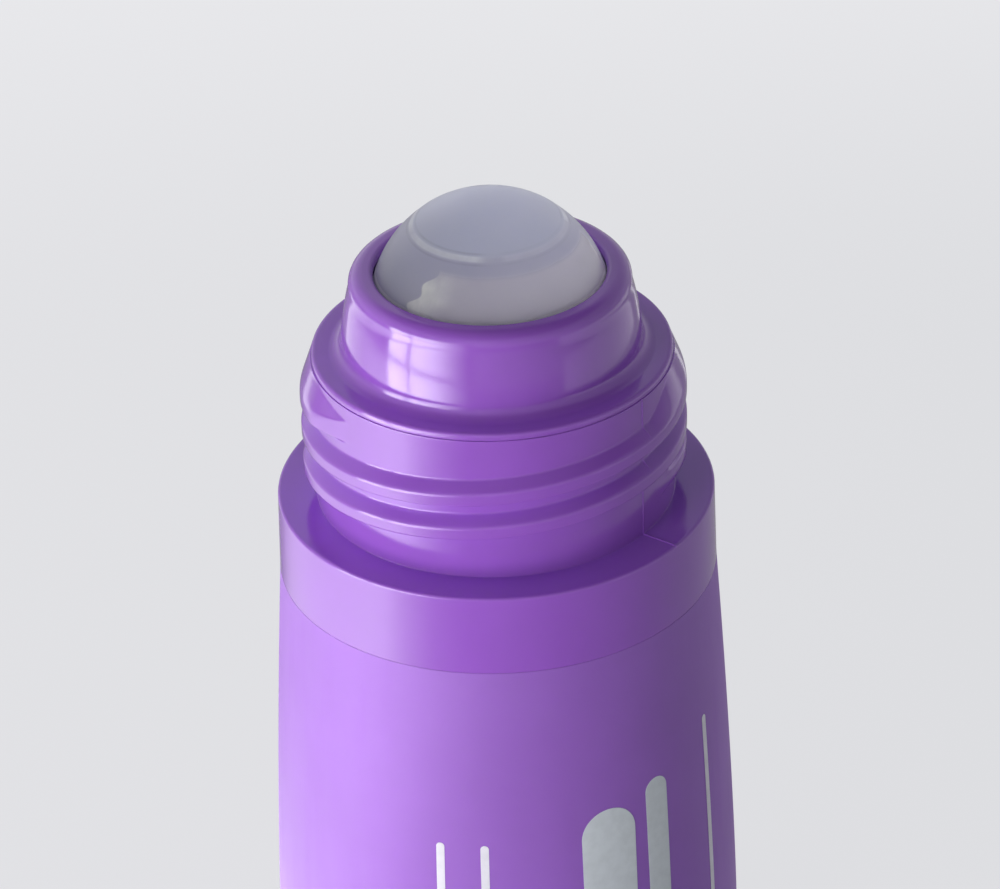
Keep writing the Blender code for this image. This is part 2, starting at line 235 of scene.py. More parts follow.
# Turns a closed outline about Z. The strip after ring openStrip is left out
def turnOutline(outline, angles, openStrip=None):
    meshMaker = bmesh.new()
    onAxis = 0.0001 * mm
    rings = []
    for r, z in outline:
        rings.append([meshMaker.verts.new(onCircle(r, a, z)) for a in (angles if r > onAxis else [0])])
    for strip, (first, second) in enumerate(zip(rings, rings[1:] + rings[:1])):
        if strip == openStrip or len(first) == len(second) == 1:
            continue
        for i in range(len(angles)):
            j = (i + 1) % len(angles)
            if len(first) == 1:
                meshMaker.faces.new((first[0], second[j], second[i]))
            elif len(second) == 1:
                meshMaker.faces.new((first[i], first[j], second[0]))
            else:
                meshMaker.faces.new((first[i], first[j], second[j], second[i]))
    return meshMaker, rings


def finishMesh(name, meshMaker, sharpAngle=radians(40)):
    bmesh.ops.recalc_face_normals(meshMaker, faces=meshMaker.faces)
    mesh = bpy.data.meshes.new(name)
    meshMaker.to_mesh(mesh)
    meshMaker.free()
    mesh.shade_smooth()
    mesh.set_sharp_from_angle(angle=sharpAngle)
    return addObject(name, mesh)


# Gives a piece its material and its body, and hides the nodes that it stands for
def settle(piece, body, slot, material, *nodes):
    piece.data.materials.clear()
    piece.data.materials.append(material)
    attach(piece, body)
    if nodes:
        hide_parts(*nodes)
    print(piece.name, "made,", len(piece.data.polygons), "faces")


# A geometry tree with named sizes, and its inputs
def geometryTree(name, sizes, counts=()):
    tree = bpy.data.node_groups.new(name, "GeometryNodeTree")
    newSockets(tree, "INPUT", "Geometry", "Geometry")
    newSockets(tree, "INPUT", "Int", *counts)
    newSockets(tree, "INPUT", "Float", *sizes)
    newSockets(tree, "INPUT", "Material", "Material")
    newSockets(tree, "OUTPUT", "Geometry", "Geometry")
    return tree, levels(addNode(tree, "NodeGroupInput"))


# Every geometry tree ends in Realize Instances and Set Material
def endTree(tree, geometry, material):
    realized = output(tree, "GeometryNodeRealizeInstances", {0: geometry})
    painted = output(tree, "GeometryNodeSetMaterial", {"Geometry": realized, "Material": material})
    addNode(tree, "NodeGroupOutput", {0: painted})
    return tree


# Runs a geometry tree on a piece and keeps the result as its plain mesh
def applyTree(piece, tree, values):
    modifier = piece.modifiers.new(tree.name, "NODES")
    modifier.node_group = tree
    for item in tree.interface.items_tree:
        if item.item_type == "SOCKET" and item.in_out == "INPUT" and item.name in values:
            modifier[item.identifier] = values[item.name]
    bpy.context.view_layer.update()
    evaluated = piece.evaluated_get(bpy.context.evaluated_depsgraph_get())
    plain = bpy.data.meshes.new_from_object(evaluated)
    piece.modifiers.remove(modifier)
    piece.data = plain


# Finishes. Each group puts out only masks and values that change over the surface
def objectPoint(tree):
    return Level(addNode(tree, "ShaderNodeTexCoord").outputs["Object"])


def noise(point, scale, detail=2.0, roughness=0.5):
    inputs = {"Vector": point, "Scale": scale, "Detail": detail, "Roughness": roughness}
    return output(point.tree, "ShaderNodeTexNoise", inputs)


def stretched(point, tall):
    return output(point.tree, "ShaderNodeMapping", {"Vector": point, "Scale": (1.0, 1.0, tall)})


def mixColour(share, first, second):
    first, second = (c if isinstance(c, Level) else (*c, 1) for c in (first, second))
    node = addNode(share.tree, "ShaderNodeMix", {0: share, 6: first, 7: second}, data_type="RGBA")
    return Level(node.outputs[2])


def mixLevel(share, first, second):
    return output(share.tree, "ShaderNodeMix", {0: share, 2: first, 3: second})


def bump(height, distance, strength=1.0):
    return output(height.tree, "ShaderNodeBump", {"Height": height, "Distance": distance, "Strength": strength})


# Moulded plastic skin: slow colour clouding, a fine grain, rubbed streaks and a few specks of dust
skinLook = dict(
    cloudScale=70.0,
    cloudShades=(0.96, 1.04),
    speckScale=170.0,
    speckRarity=0.93,
    speckSize=0.022,
    speckColour=(0.86, 0.84, 0.9),
    speckShare=0.55,
    speckRoughness=0.3,
    speckHeight=1.5,
    rubScale=520.0,
    rubStretch=0.12,
    rubRange=(0.45, 0.75),
    swellScale=160.0,
    swell=2.0,
)


def mouldedSkinGroup():
    k = skinLook
    group = bpy.data.node_groups.new("Moulded skin", "ShaderNodeTree")
    newSockets(group, "INPUT", "Color", "Colour")
    newSockets(group, "INPUT", "Float", "Roughness", "Grain", "Grain scale", "Rub")
    newSockets(group, "OUTPUT", "Color", "Colour")
    newSockets(group, "OUTPUT", "Float", "Roughness", "Height")
    given = levels(addNode(group, "NodeGroupInput"))
    point = objectPoint(group)
    clouded = scaled(given["Colour"], span(noise(point, k["cloudScale"], 3.0), 0.3, 0.7, *k["cloudShades"]))
    specks = levels(addNode(group, "ShaderNodeTexVoronoi", {"Vector": point, "Scale": k["speckScale"]}))
    chance, size, _ = levels(addNode(group, "ShaderNodeSeparateColor", {0: specks["Color"]})).values()
    dot = calc("LESS_THAN", specks["Distance"], size * k["speckSize"])
    dust = calc("GREATER_THAN", chance, k["speckRarity"]) * dot
    rubbing = noise(stretched(point, k["rubStretch"]), k["rubScale"], 4.0, 0.6)
    rubbed = span(rubbing, *k["rubRange"]) * given["Rub"]
    grain = noise(point, given["Grain scale"])
    swell = noise(point, k["swellScale"], 1.0) * k["swell"]
    addNode(group, "NodeGroupOutput", {
        "Colour": mixColour(dust * k["speckShare"], clouded, k["speckColour"]),
        "Roughness": given["Roughness"] + rubbed + dust * k["speckRoughness"],
        "Height": (grain + swell) * given["Grain"] + dust * k["speckHeight"],
    })
    return group


def newMaterial(name):
    material = bpy.data.materials.new(name)
    material.use_nodes = True
    return material, material.node_tree, material.node_tree.nodes["Principled BSDF"].inputs


glossLook = dict(colour=(0.335, 0.114, 0.605), bumpDepth=0.012 * mm, index=1.49,
                 skin={"Roughness": 0.12, "Grain": 0.2, "Grain scale": 1800.0, "Rub": 0.05})
satinLook = dict(colour=(0.325, 0.128, 0.575), bumpDepth=0.015 * mm, index=1.5,
                 skin={"Roughness": 0.48, "Grain": 0.5, "Grain scale": 3600.0, "Rub": 0.06})
glowLook = {"Subsurface Weight": 0.12, "Subsurface Radius": (1.0, 0.45, 1.3), "Subsurface Scale": 0.8 * mm}


def plasticMaterial(name, skinGroup, look):
    material, tree, shader = newMaterial(name)
    inputs = {"Colour": (*look["colour"], 1), **look["skin"]}
    skin = levels(addNode(tree, "ShaderNodeGroup", inputs, node_tree=skinGroup))
    wireAll(shader, {
        "Base Color": skin["Colour"],
        "Roughness": skin["Roughness"],
        "Normal": bump(skin["Height"], look["bumpDepth"]),
        "IOR": look["index"],
        **glowLook,
    })
    return material


# The threaded bottle
bottleShape = dict(
    neckRadius=flangeRadius + 0.22 * mm,
    neckWall=1.9 * mm,
    neckTopRound=0.06 * mm,
    boreChamfer=0.35 * mm,
    boreRound=0.4 * mm,
    footFillet=0.04 * mm,
    ridgeStart=0.02 * mm,
    shoulderRadius=bandFootRadius - 0.2 * mm,
    shoulderRound=0.3 * mm,
    shoulderWall=1.8 * mm,
    ceilingRound=1.2 * mm,
    bandFoot=sleeveTop + 0.3 * mm,
    bandFootRound=0.04 * mm,
    landInset=1.5 * mm,
    landHeight=6.0 * mm,
    landRound=0.1 * mm,
    vesselInset=1.6 * mm,
    vesselTaper=3.5 * mm,
    vesselWall=1.1 * mm,
    vesselBend=0.5 * mm,
    vesselCorner=3.2 * mm,
    rowHeight=0.125 * mm,
    rowMarginShare=0.3,
    facetTurn=radians(18),
)
ridgeShape = {
    "Lead": 8.0 * mm,
    "Depth": 1.28 * mm,
    "Upper flank": 1.05 * mm,
    "Land": 1.34 * mm,
    "Lower flank": 0.34 * mm,
    "Top drop": 1.56 * mm,
    "Turn": radians(427.5),
    "Tip angle": radians(17),
    "Rise begins": radians(72),
    "Rise full": radians(54),
    "Foot fade": radians(34),
    "Softness": 0.14 * mm,
    "Edge softness": 0.42 * mm,
    "Least flank": 0.02 * mm,
    "Least softness": 0.001 * mm,
}
threadShape = {
    **ridgeShape,
    "Starts": 2.0,
    "End angle": radians(37.5),
    "Flash angle": columnPlan["parting"],
    "Flash height": 0.09 * mm,
    "Flash width": 0.075 * mm,
}


# Height of one thread ridge over the neck's wall, at a distance below its root line and an angle back from its
# upper end
def ridgeGroup():
    group = bpy.data.node_groups.new("Thread ridge", "GeometryNodeTree")
    newSockets(group, "INPUT", "Float", "Below root", "Back", *ridgeShape)
    newSockets(group, "OUTPUT", "Float", "Height")
    given = levels(addNode(group, "NodeGroupInput"))
    back, belowRoot = given["Back"], given["Below root"]
    tip = span(back, 0.0, given["Tip angle"])
    left = given["Turn"] - back
    foot = span(left, 0.0, given["Foot fade"], smooth=True)
    rise = span(back, given["Rise begins"], given["Rise full"], smooth=True)
    room = given["Top drop"] + given["Lead"] * (back / tau)
    flankTop = room * rise * -tip
    flankHeight = calc("MAXIMUM", given["Upper flank"] * tip - flankTop, given["Least flank"])
    ridgeFoot = given["Upper flank"] + given["Land"] + given["Lower flank"]
    fade = tip * foot
    depth = given["Depth"] * fade
    up = depth * ((belowRoot - flankTop) / flankHeight)
    down = depth * ((ridgeFoot - belowRoot) / given["Lower flank"])
    soft = calc("MAXIMUM", given["Softness"] * fade, given["Least softness"])
    edgeSoft = calc("MAXIMUM", given["Edge softness"] * fade, given["Least softness"])
    ridge = calc("SMOOTH_MIN", calc("SMOOTH_MIN", up, depth, edgeSoft), down, soft)
    onRidge = calc("GREATER_THAN", back, 0.0) * calc("GREATER_THAN", left, 0.0)
    addNode(group, "NodeGroupOutput", {"Height": calc("SMOOTH_MAX", ridge, 0.0, soft) * onRidge})
    return group


# Raises the two-start thread and the mould's flash line on the neck
def threadTree():
    places = ("Neck top", "Neck radius", "Neck wall", "Wall foot", "Shoulder", "Shoulder round")
    tree, given = geometryTree("Neck thread", (*threadShape, *places))
    x, y, z = split(output(tree, "GeometryNodeInputPosition"))
    turn = calc("ARCTAN2", y, x)
    radius = calc("SQRT", x * x + y * y)
    pitch = given["Lead"] / given["Starts"]
    pitchTurn = calc("DIVIDE", tau, given["Starts"])
    past = turn - given["End angle"]
    below = given["Neck top"] - given["Top drop"] + given["Lead"] * (past / tau) - z
    index = calc("FLOOR", below / pitch)
    belowRoot = below - index * pitch
    back = index * pitchTurn - past
    ridge = ridgeGroup()
    sizes = {name: given[name] for name in ridgeShape}
    heights = []
    for under, angle in ((belowRoot, back), (belowRoot - pitch, back + pitchTurn)):
        inputs = {"Below root": under, "Back": angle, **sizes}
        heights.append(output(tree, "GeometryNodeGroup", inputs, node_tree=ridge))
    outerWall = calc("GREATER_THAN", radius, given["Neck radius"] - given["Neck wall"] * 0.5)
    height = calc("MAXIMUM", *heights) * outerWall * calc("GREATER_THAN", z, given["Wall foot"])
    reach = calc("MAXIMUM", radius, mm)
    outward = output(tree, "ShaderNodeCombineXYZ", {"X": x / reach * height, "Y": y / reach * height})
    raised = output(tree, "GeometryNodeSetPosition", {"Geometry": given["Geometry"], "Offset": outward})
    # The flash stands along two opposite lines, up the neck's wall and across the shoulder
    lineShare = radius * calc("SINE", turn - given["Flash angle"]) / given["Flash width"]
    onTop = span(z, given["Shoulder"] - given["Shoulder round"], given["Shoulder"])
    offRidge = 1.0 - calc("MINIMUM", height / given["Depth"], 1.0)
    flash = calc("EXPONENT", -(lineShare * lineShare)) * (offRidge * given["Flash height"]) * (outerWall * onTop)
    along = scaled(output(tree, "GeometryNodeInputNormal"), flash)
    raised = output(tree, "GeometryNodeSetPosition", {"Geometry": raised, "Offset": along})
    return endTree(tree, raised, given["Material"])


# The neck's wall between two rings, in rows that climb with the thread, so that its edges lie along the rows
def addClimbingWall(meshMaker, upperRing, lowerRing, angles):
    rowHeight, lead = bottleShape["rowHeight"], threadShape["Lead"]
    radius = upperRing[0].co.xy.length
    margin = rowHeight * bottleShape["rowMarginShare"]
    low, high = lowerRing[0].co.z + margin, upperRing[0].co.z - margin
    rowsPerTurn = round(lead / rowHeight)
    columns = []
    for angle in angles:
        start = lead * (angle - angles[0]) / tau
        rows = range(math.ceil((low - start) / rowHeight), math.floor((high - start) / rowHeight) + 1)
        columns.append({k: meshMaker.verts.new(onCircle(radius, angle, start + k * rowHeight)) for k in rows})
    for i, left in enumerate(columns):
        j = (i + 1) % len(columns)
        right = columns[j] if j else {k - rowsPerTurn: vert for k, vert in columns[0].items()}
        shared = sorted(set(left) & set(right))
        for k in shared[:-1]:
            meshMaker.faces.new((left[k], right[k], right[k + 1], left[k + 1]))
        first, last = shared[0], shared[-1]
        lowLeft, lowRight = ([side[k] for k in side if k < first] for side in (left, right))
        meshMaker.faces.new([lowerRing[i], lowerRing[j], *lowRight, right[first], left[first], *reversed(lowLeft)])
        highLeft, highRight = ([side[k] for k in side if k > last] for side in (left, right))
        meshMaker.faces.new([left[last], right[last], *highRight, upperRing[j], upperRing[i], *reversed(highLeft)])


def makeBottle(material):
    s = bottleShape
    bore = s["neckRadius"] - s["neckWall"]
    land = bandFootRadius - s["landInset"]
    landFoot = s["bandFoot"] - s["landHeight"]
    landBore = land - s["shoulderWall"]
    vessel = land - s["vesselInset"]
    vesselTop = landFoot - s["vesselTaper"]
    vesselBore = vessel - s["vesselWall"]
    ceiling = shoulder - s["shoulderWall"]
    floor = bottleFoot + s["vesselWall"]
    corners = [
        (s["neckRadius"], neckTop, s["neckTopRound"]),
        (s["neckRadius"], shoulder, s["footFillet"]),
        (s["shoulderRadius"], shoulder, s["shoulderRound"]),
        (bandFootRadius, s["bandFoot"], s["bandFootRound"]),
        (land, s["bandFoot"], s["landRound"]),
        (land, landFoot, s["vesselBend"]),
        (vessel, vesselTop, s["vesselBend"]),
        (vessel, bottleFoot, s["vesselCorner"]),
        (0, bottleFoot, 0),
        (0, floor, 0),
        (vesselBore, floor, s["vesselCorner"] - s["vesselWall"]),
        (vesselBore, vesselTop, s["vesselBend"]),
        (landBore, landFoot, s["vesselBend"]),
        (landBore, ceiling, s["ceilingRound"]),
        (bore, ceiling, s["boreRound"]),
        (bore, neckTop - s["boreChamfer"], 0),
        (bore + s["boreChamfer"], neckTop, 0),
    ]
    outline = roundCorners(corners, facetTurn=s["facetTurn"])
    # The climbing rows take the place of the wall between the top round and the foot fillet
    near = 0.001 * mm
    wall = [p for p in outline if abs(p[0] - s["neckRadius"]) < near and p[1] > shoulder]
    upper, lower = max(wall, key=lambda p: p[1]), min(wall, key=lambda p: p[1])
    outline = [p for p in outline if p not in wall or p in (upper, lower)]
    angles = columnAngles()
    meshMaker, rings = turnOutline(outline, angles, outline.index(upper))
    addClimbingWall(meshMaker, rings[outline.index(upper)], rings[outline.index(lower)], angles)
    bottle = finishMesh("threaded_bottle", meshMaker)
    applyTree(bottle, threadTree(), {
        **threadShape,
        "Neck top": neckTop,
        "Neck radius": s["neckRadius"],
        "Neck wall": s["neckWall"],
        "Wall foot": lower[1] + s["ridgeStart"],
        "Shoulder": shoulder,
        "Shoulder round": s["shoulderRound"],
        "Material": material,
    })
    settle(bottle, "container", "gloss_purple", material, "bottle")


# The housing that holds the ball
housingShape = dict(
    columns=360,
    seatGap=0.12 * mm,
    lipHold=0.55 * mm,
    lipRound=0.5 * mm,
    towerGap=0.3 * mm,
    towerTopWall=1.7 * mm,
    towerSpread=1.1 * mm,
    towerBulge=0.16 * mm,
    bulgeSteps=12,
    rimRound=1.5 * mm,
    filletRadius=1.3 * mm,
    flangeHeight=0.78 * mm,
    flangeFootRound=0.02 * mm,
    beadReach=0.1 * mm,
    beadWidth=0.56 * mm,
    beadDrop=0.72 * mm,
    beadFullness=0.62,
    beadSteps=14,
    valleyDip=0.08 * mm,
    jointLine=0.008 * mm,
    skirtGap=0.3 * mm,
    skirtWall=1.2 * mm,
    skirtRoot=1.4 * mm,
    skirtEdge=0.15 * mm,
    skirtTip=0.45 * mm,
    skirtCeilingRound=0.2 * mm,
    cupWall=1.2 * mm,
    cupFootAngle=radians(-46),
    cupSteps=14,
    seatSteps=40,
    slotOverrun=4 * mm,
)
slotShape = {"Slots": 6, "Width": 2.0 * mm, "Depth": 1.8 * mm}


# Cuts a star of feed slots into the foot of the ball's cup
def feedSlotTree():
    tree, given = geometryTree("Feed slots", ("Width", "Depth", "Length", "Foot"), ("Slots",))
    sides = {"X": given["Length"], "Y": given["Width"], "Z": given["Depth"] * 2.0}
    bar = output(tree, "GeometryNodeMeshCube", {"Size": output(tree, "ShaderNodeCombineXYZ", sides)})
    spokes = output(tree, "GeometryNodeMeshLine", {"Count": given["Slots"] / 2.0, "Offset": (0, 0, 0)})
    angle = output(tree, "GeometryNodeInputIndex") * calc("DIVIDE", tau, given["Slots"])
    turn = output(tree, "ShaderNodeCombineXYZ", {"Z": angle})
    star = output(tree, "GeometryNodeInstanceOnPoints", {"Points": spokes, "Instance": bar, "Rotation": turn})
    loose = output(tree, "GeometryNodeRealizeInstances", {0: star})
    drop = output(tree, "ShaderNodeCombineXYZ", {"Z": given["Foot"]})
    lowered = output(tree, "GeometryNodeTransform", {"Geometry": loose, "Translation": drop})
    inputs = {"Self Intersection": True, "Mesh 1": given["Geometry"], "Mesh 2": lowered}
    cut = output(tree, "GeometryNodeMeshBoolean", inputs, operation="DIFFERENCE", solver="EXACT")
    return endTree(tree, cut, given["Material"])


def arcPoints(radius, centre, first, last, facets):
    angles = [first + (last - first) * i / facets for i in range(facets + 1)]
    return [(radius * cos(angle), centre + radius * sin(angle)) for angle in angles]


def makeHousing(material):
    s = housingShape
    seat = ballRadius + s["seatGap"]
    lip = ballRadius - s["lipHold"]
    towerTop = ballRadius + s["towerGap"] + s["towerTopWall"]
    flangeFoot = neckTop + s["jointLine"]
    flangeTop = neckTop + s["flangeHeight"]
    valley = flangeTop - s["valleyDip"]
    skirt = bottleShape["neckRadius"] - bottleShape["neckWall"] - s["skirtGap"]
    skirtBore = skirt - s["skirtWall"]
    cup = seat + s["cupWall"]
    ceiling = flangeFoot - s["skirtRoot"]
    # A slight bulge on the tower's wall, as the photo's mirrored window shows
    wallTop, wallFoot = rimTop - s["rimRound"], valley + s["filletRadius"]
    bulge = []
    for i in range(1, s["bulgeSteps"]):
        share = i / s["bulgeSteps"]
        proud = 4 * s["towerBulge"] * share * (1 - share)
        bulge.append((towerTop + s["towerSpread"] * share + proud, wallTop + (wallFoot - wallTop) * share, 0))
    # The flange's upper side swells into a soft bead
    beadRadius = flangeRadius + s["beadReach"]
    bead = []
    for i in range(s["beadSteps"] + 1):
        angle = pi / 2 * (1 - i / s["beadSteps"])
        inward = 1 - cos(angle) ** s["beadFullness"]
        down = 1 - sin(angle) ** s["beadFullness"]
        bead.append((beadRadius - s["beadWidth"] * inward, flangeTop - s["beadDrop"] * down, 0))
    cupStart = math.asin((ceiling - ballCentre) / cup)
    cupArc = arcPoints(cup, ballCentre, cupStart, s["cupFootAngle"], s["cupSteps"])
    seatArc = arcPoints(seat, ballCentre, s["cupFootAngle"], math.acos(lip / seat), s["seatSteps"])
    corners = [
        (lip, rimTop, s["lipRound"]),
        (towerTop, rimTop, s["rimRound"]),
        *bulge,
        (towerTop + s["towerSpread"], valley, s["filletRadius"]),
        *bead,
        (beadRadius, flangeFoot, s["flangeFootRound"]),
        (skirt, flangeFoot, s["skirtEdge"]),
        (skirt, skirtFoot, s["skirtTip"]),
        (skirtBore, skirtFoot, s["skirtEdge"]),
        (skirtBore, ceiling, s["skirtCeilingRound"]),
        *[(r, z, 0) for r, z in cupArc + seatArc],
    ]
    meshMaker, _ = turnOutline(roundCorners(corners), evenAngles(s["columns"]))
    housing = finishMesh("ball_tower", meshMaker)
    applyTree(housing, feedSlotTree(), {
        **slotShape,
        "Length": 2 * cup * cos(s["cupFootAngle"]) + s["slotOverrun"],
        "Foot": ballCentre + cup * sin(s["cupFootAngle"]),
        "Material": material,
    })
    settle(housing, "container", "gloss_purple", material, "ball_housing")


# The ball: two welded halves, with the ring and the wet film that the cap and the product leave on it
ballShape = dict(
    wall=1.8 * mm,
    seamGap=0.03 * mm,
    seamRound=0.06 * mm,
    spigot=0.9 * mm,
    spigotGap=0.1 * mm,
    innerSteps=24,
    innerMargin=0.2 * mm,
    columns=360,
    # Rings of vertices from the top down, as first angle, last angle and step in degrees
    rows=((0.7, 34, 1.4), (34, 44.2, 0.3), (44.2, 89.7, 0.9)),
    ringAngle=radians(39.0),
    ringWidth=0.42 * mm,
    ringHeight=0.08 * mm,
    ringThinShare=0.12,
    ringThickest=radians(242),
    ringSpread=0.55,
    # Unevenness of the ring, as share, waves in a turn and phase
    ringWaves=((0.06, 7, 1), (0.04, 23, 0)),
    domeLift=0.05 * mm,
    domeFall=2.2,
    # The wet film is a tongue over the front, up to a slanting and wavy edge at the left
    filmHeight=0.06 * mm,
    filmEdge=radians(225),
    filmSlant=0.6,
    slantFrom=radians(66),
    edgeWave=0.035,
    edgeWaves=31.0,
    filmReach=2.4,
    filmTop=radians(47),
    filmFoot=radians(81),
    # How softly it ends at the left, at the right, and at the top and foot
    filmFades=(0.014, 0.12, 0.02),
)


def fading(past, width):
    return 1 / (1 + math.exp(max(-50, min(50, -past / width))))


def wetShare(fromTop, turn):
    s = ballShape
    slant = s["filmSlant"] * max(0, s["slantFrom"] - fromTop)
    edgeTurn = s["filmEdge"] + s["edgeWave"] * sin(fromTop * s["edgeWaves"]) + slant
    past = math.remainder(turn - edgeTurn, tau)
    left, right, level = s["filmFades"]
    sides = fading(past, left) * fading(s["filmReach"] - past, right)
    return sides * fading(fromTop - s["filmTop"], level) * fading(s["filmFoot"] - fromTop, level)


# How far the film stands proud of the bare ball, at an angle from the top and a turn about it
def filmHeight(fromTop, turn):
    s = ballShape
    across = (fromTop - s["ringAngle"]) * ballRadius / s["ringWidth"]
    thickest = math.exp(-(math.remainder(turn - s["ringThickest"], tau) / s["ringSpread"]) ** 2)
    uneven = s["ringThinShare"] + (1 - s["ringThinShare"]) * thickest
    uneven += sum(share * sin(waves * turn + phase) for share, waves, phase in s["ringWaves"])
    ring = s["ringHeight"] * uneven * math.exp(-across ** 4)
    dome = s["domeLift"] / (1 + math.exp(across * s["domeFall"]))
    return ring + dome + s["filmHeight"] * wetShare(fromTop, turn)


def ballAngles():
    angles = []
    for first, last, step in ballShape["rows"]:
        count = round((last - first) / step)
        angles += [radians(first + (last - first) * i / count) for i in range(count)]
    return angles


def makeBallHalf(name, upper, material):
    s = ballShape
    half = s["seamGap"] / 2
    hollow = ballRadius - s["wall"]
    middle = (ballRadius + hollow) / 2
    sign = 1 if upper else -1
    seamTop = half + s["seamRound"]
    seamRadius = math.sqrt(ballRadius ** 2 - seamTop ** 2)
    outline = [(0, ballRadius)]
    outline += [(ballRadius * sin(a), ballRadius * cos(a)) for a in ballAngles()]
    outline += [(seamRadius, seamTop), (seamRadius - s["seamRound"], half)]
    inner = arcPoints(hollow, 0, 0, pi / 2, s["innerSteps"])[1:-1] + [(0, hollow)]
    if upper:
        recess = middle + s["spigotGap"] / 2
        recessTop = s["spigot"] + s["spigotGap"]
        outline += [(recess, half), (recess, recessTop), (math.sqrt(hollow ** 2 - recessTop ** 2), recessTop)]
        outline += [p for p in inner if p[1] > recessTop + s["innerMargin"]]
    else:
        spigot = middle - s["spigotGap"] / 2
        outline += [(spigot, half), (spigot, -s["spigot"]), (hollow, -s["spigot"]), (hollow, 0)] + inner
    meshMaker, _ = turnOutline([(r, sign * z) for r, z in outline], evenAngles(s["columns"]))
    if upper:
        skinDepth = 0.002 * mm
        for vert in meshMaker.verts:
            reach = vert.co.length
            if reach > ballRadius - skinDepth:
                fromTop = math.acos(max(-1, min(1, vert.co.z / reach)))
                vert.co *= 1 + filmHeight(fromTop, math.atan2(vert.co.y, vert.co.x)) / reach
    bmesh.ops.translate(meshMaker, verts=meshMaker.verts, vec=(0, 0, ballCentre))
    piece = finishMesh(name, meshMaker)
    settle(piece, "ball", "frosted_ball", material, "ball_upper_half" if upper else "ball_lower_half")


ballLook = dict(
    plain=(0.375, 0.365, 0.50),
    wet=(0.455, 0.425, 0.535),
    insideRing=(0.40, 0.405, 0.55),
    # What lies on the plastic, and a painted highlight on the wet film's edge, as a colour and how much of it shows
    cloud=((0.50, 0.48, 0.59), 0.22),
    filmEdge=((0.95, 0.94, 0.98), 0.85),
    ring=((0.82, 0.83, 0.92), 0.4),
    ringLine=((0.24, 0.24, 0.32), 0.35),
    liquidLine=((0.75, 0.73, 0.80), 0.7),
    # Painted light: a paler colour next to the weld, where the thin wall loses light
    weld=(0.80, 0.76, 1.0),
    weldShares=(0.6, 0.2),
    # Angles off the ring's middle
    insideEdge=(0.01, -0.05),
    ringEdge=(0.016, 0.034),
    lineAt=0.048,
    lineEdge=(0.003, 0.014),
    # Turns about the ball
    breakAt=radians(272),
    breakEdge=(0.06, 0.22),
    breakShare=0.25,
    ringThins=(radians(258), radians(285)),
    ringThinShare=0.35,
    # Angles from the ball's top
    filmBegins=(radians(46), radians(50)),
    filmEnds=(radians(76), radians(86)),
    paleBegins=(radians(50), radians(57)),
    paleTopShare=0.3,
    liquidAt=radians(69.4),
    liquidEdge=(0.008, 0.02),
    weldThins=(radians(78), radians(90)),
    weldEnds=(radians(90), radians(92.5)),
    weldSides=(radians(89.99), radians(90.01)),
    # Turns past the film's left edge
    filmStart=(-0.012, 0.012),
    paleFades=(0.02, 0.42),
    dryRoughness=(0.30, 0.38),
    wetRoughness=0.2,
    # Sizes of the patterns, as scales of their noise
    wornScale=380.0,
    streakScale=520.0,
    streakStretch=0.15,
    cloudScale=130.0,
    smearScale=420.0,
    rippleScale=260.0,
    bumpDepth=0.04 * mm,
    bumpStrength=0.5,
    index=1.38,
    glowRadius=(1.0, 1.0, 1.1),
    glowDepth=9.0 * mm,
)


# The wet film's share, and the turn past its left edge
def filmMask(fromTop, turn):
    s, k = ballShape, ballLook
    slant = calc("MAXIMUM", s["slantFrom"] - fromTop, 0.0) * s["filmSlant"]
    wave = calc("SINE", fromTop * s["edgeWaves"]) * s["edgeWave"]
    past = turn - (slant + wave + s["filmEdge"])
    under = span(fromTop, *k["filmBegins"], smooth=True)
    over = span(fromTop, *k["filmEnds"], 1.0, 0.0, smooth=True)
    return span(past, *k["filmStart"], smooth=True) * (under * over), past


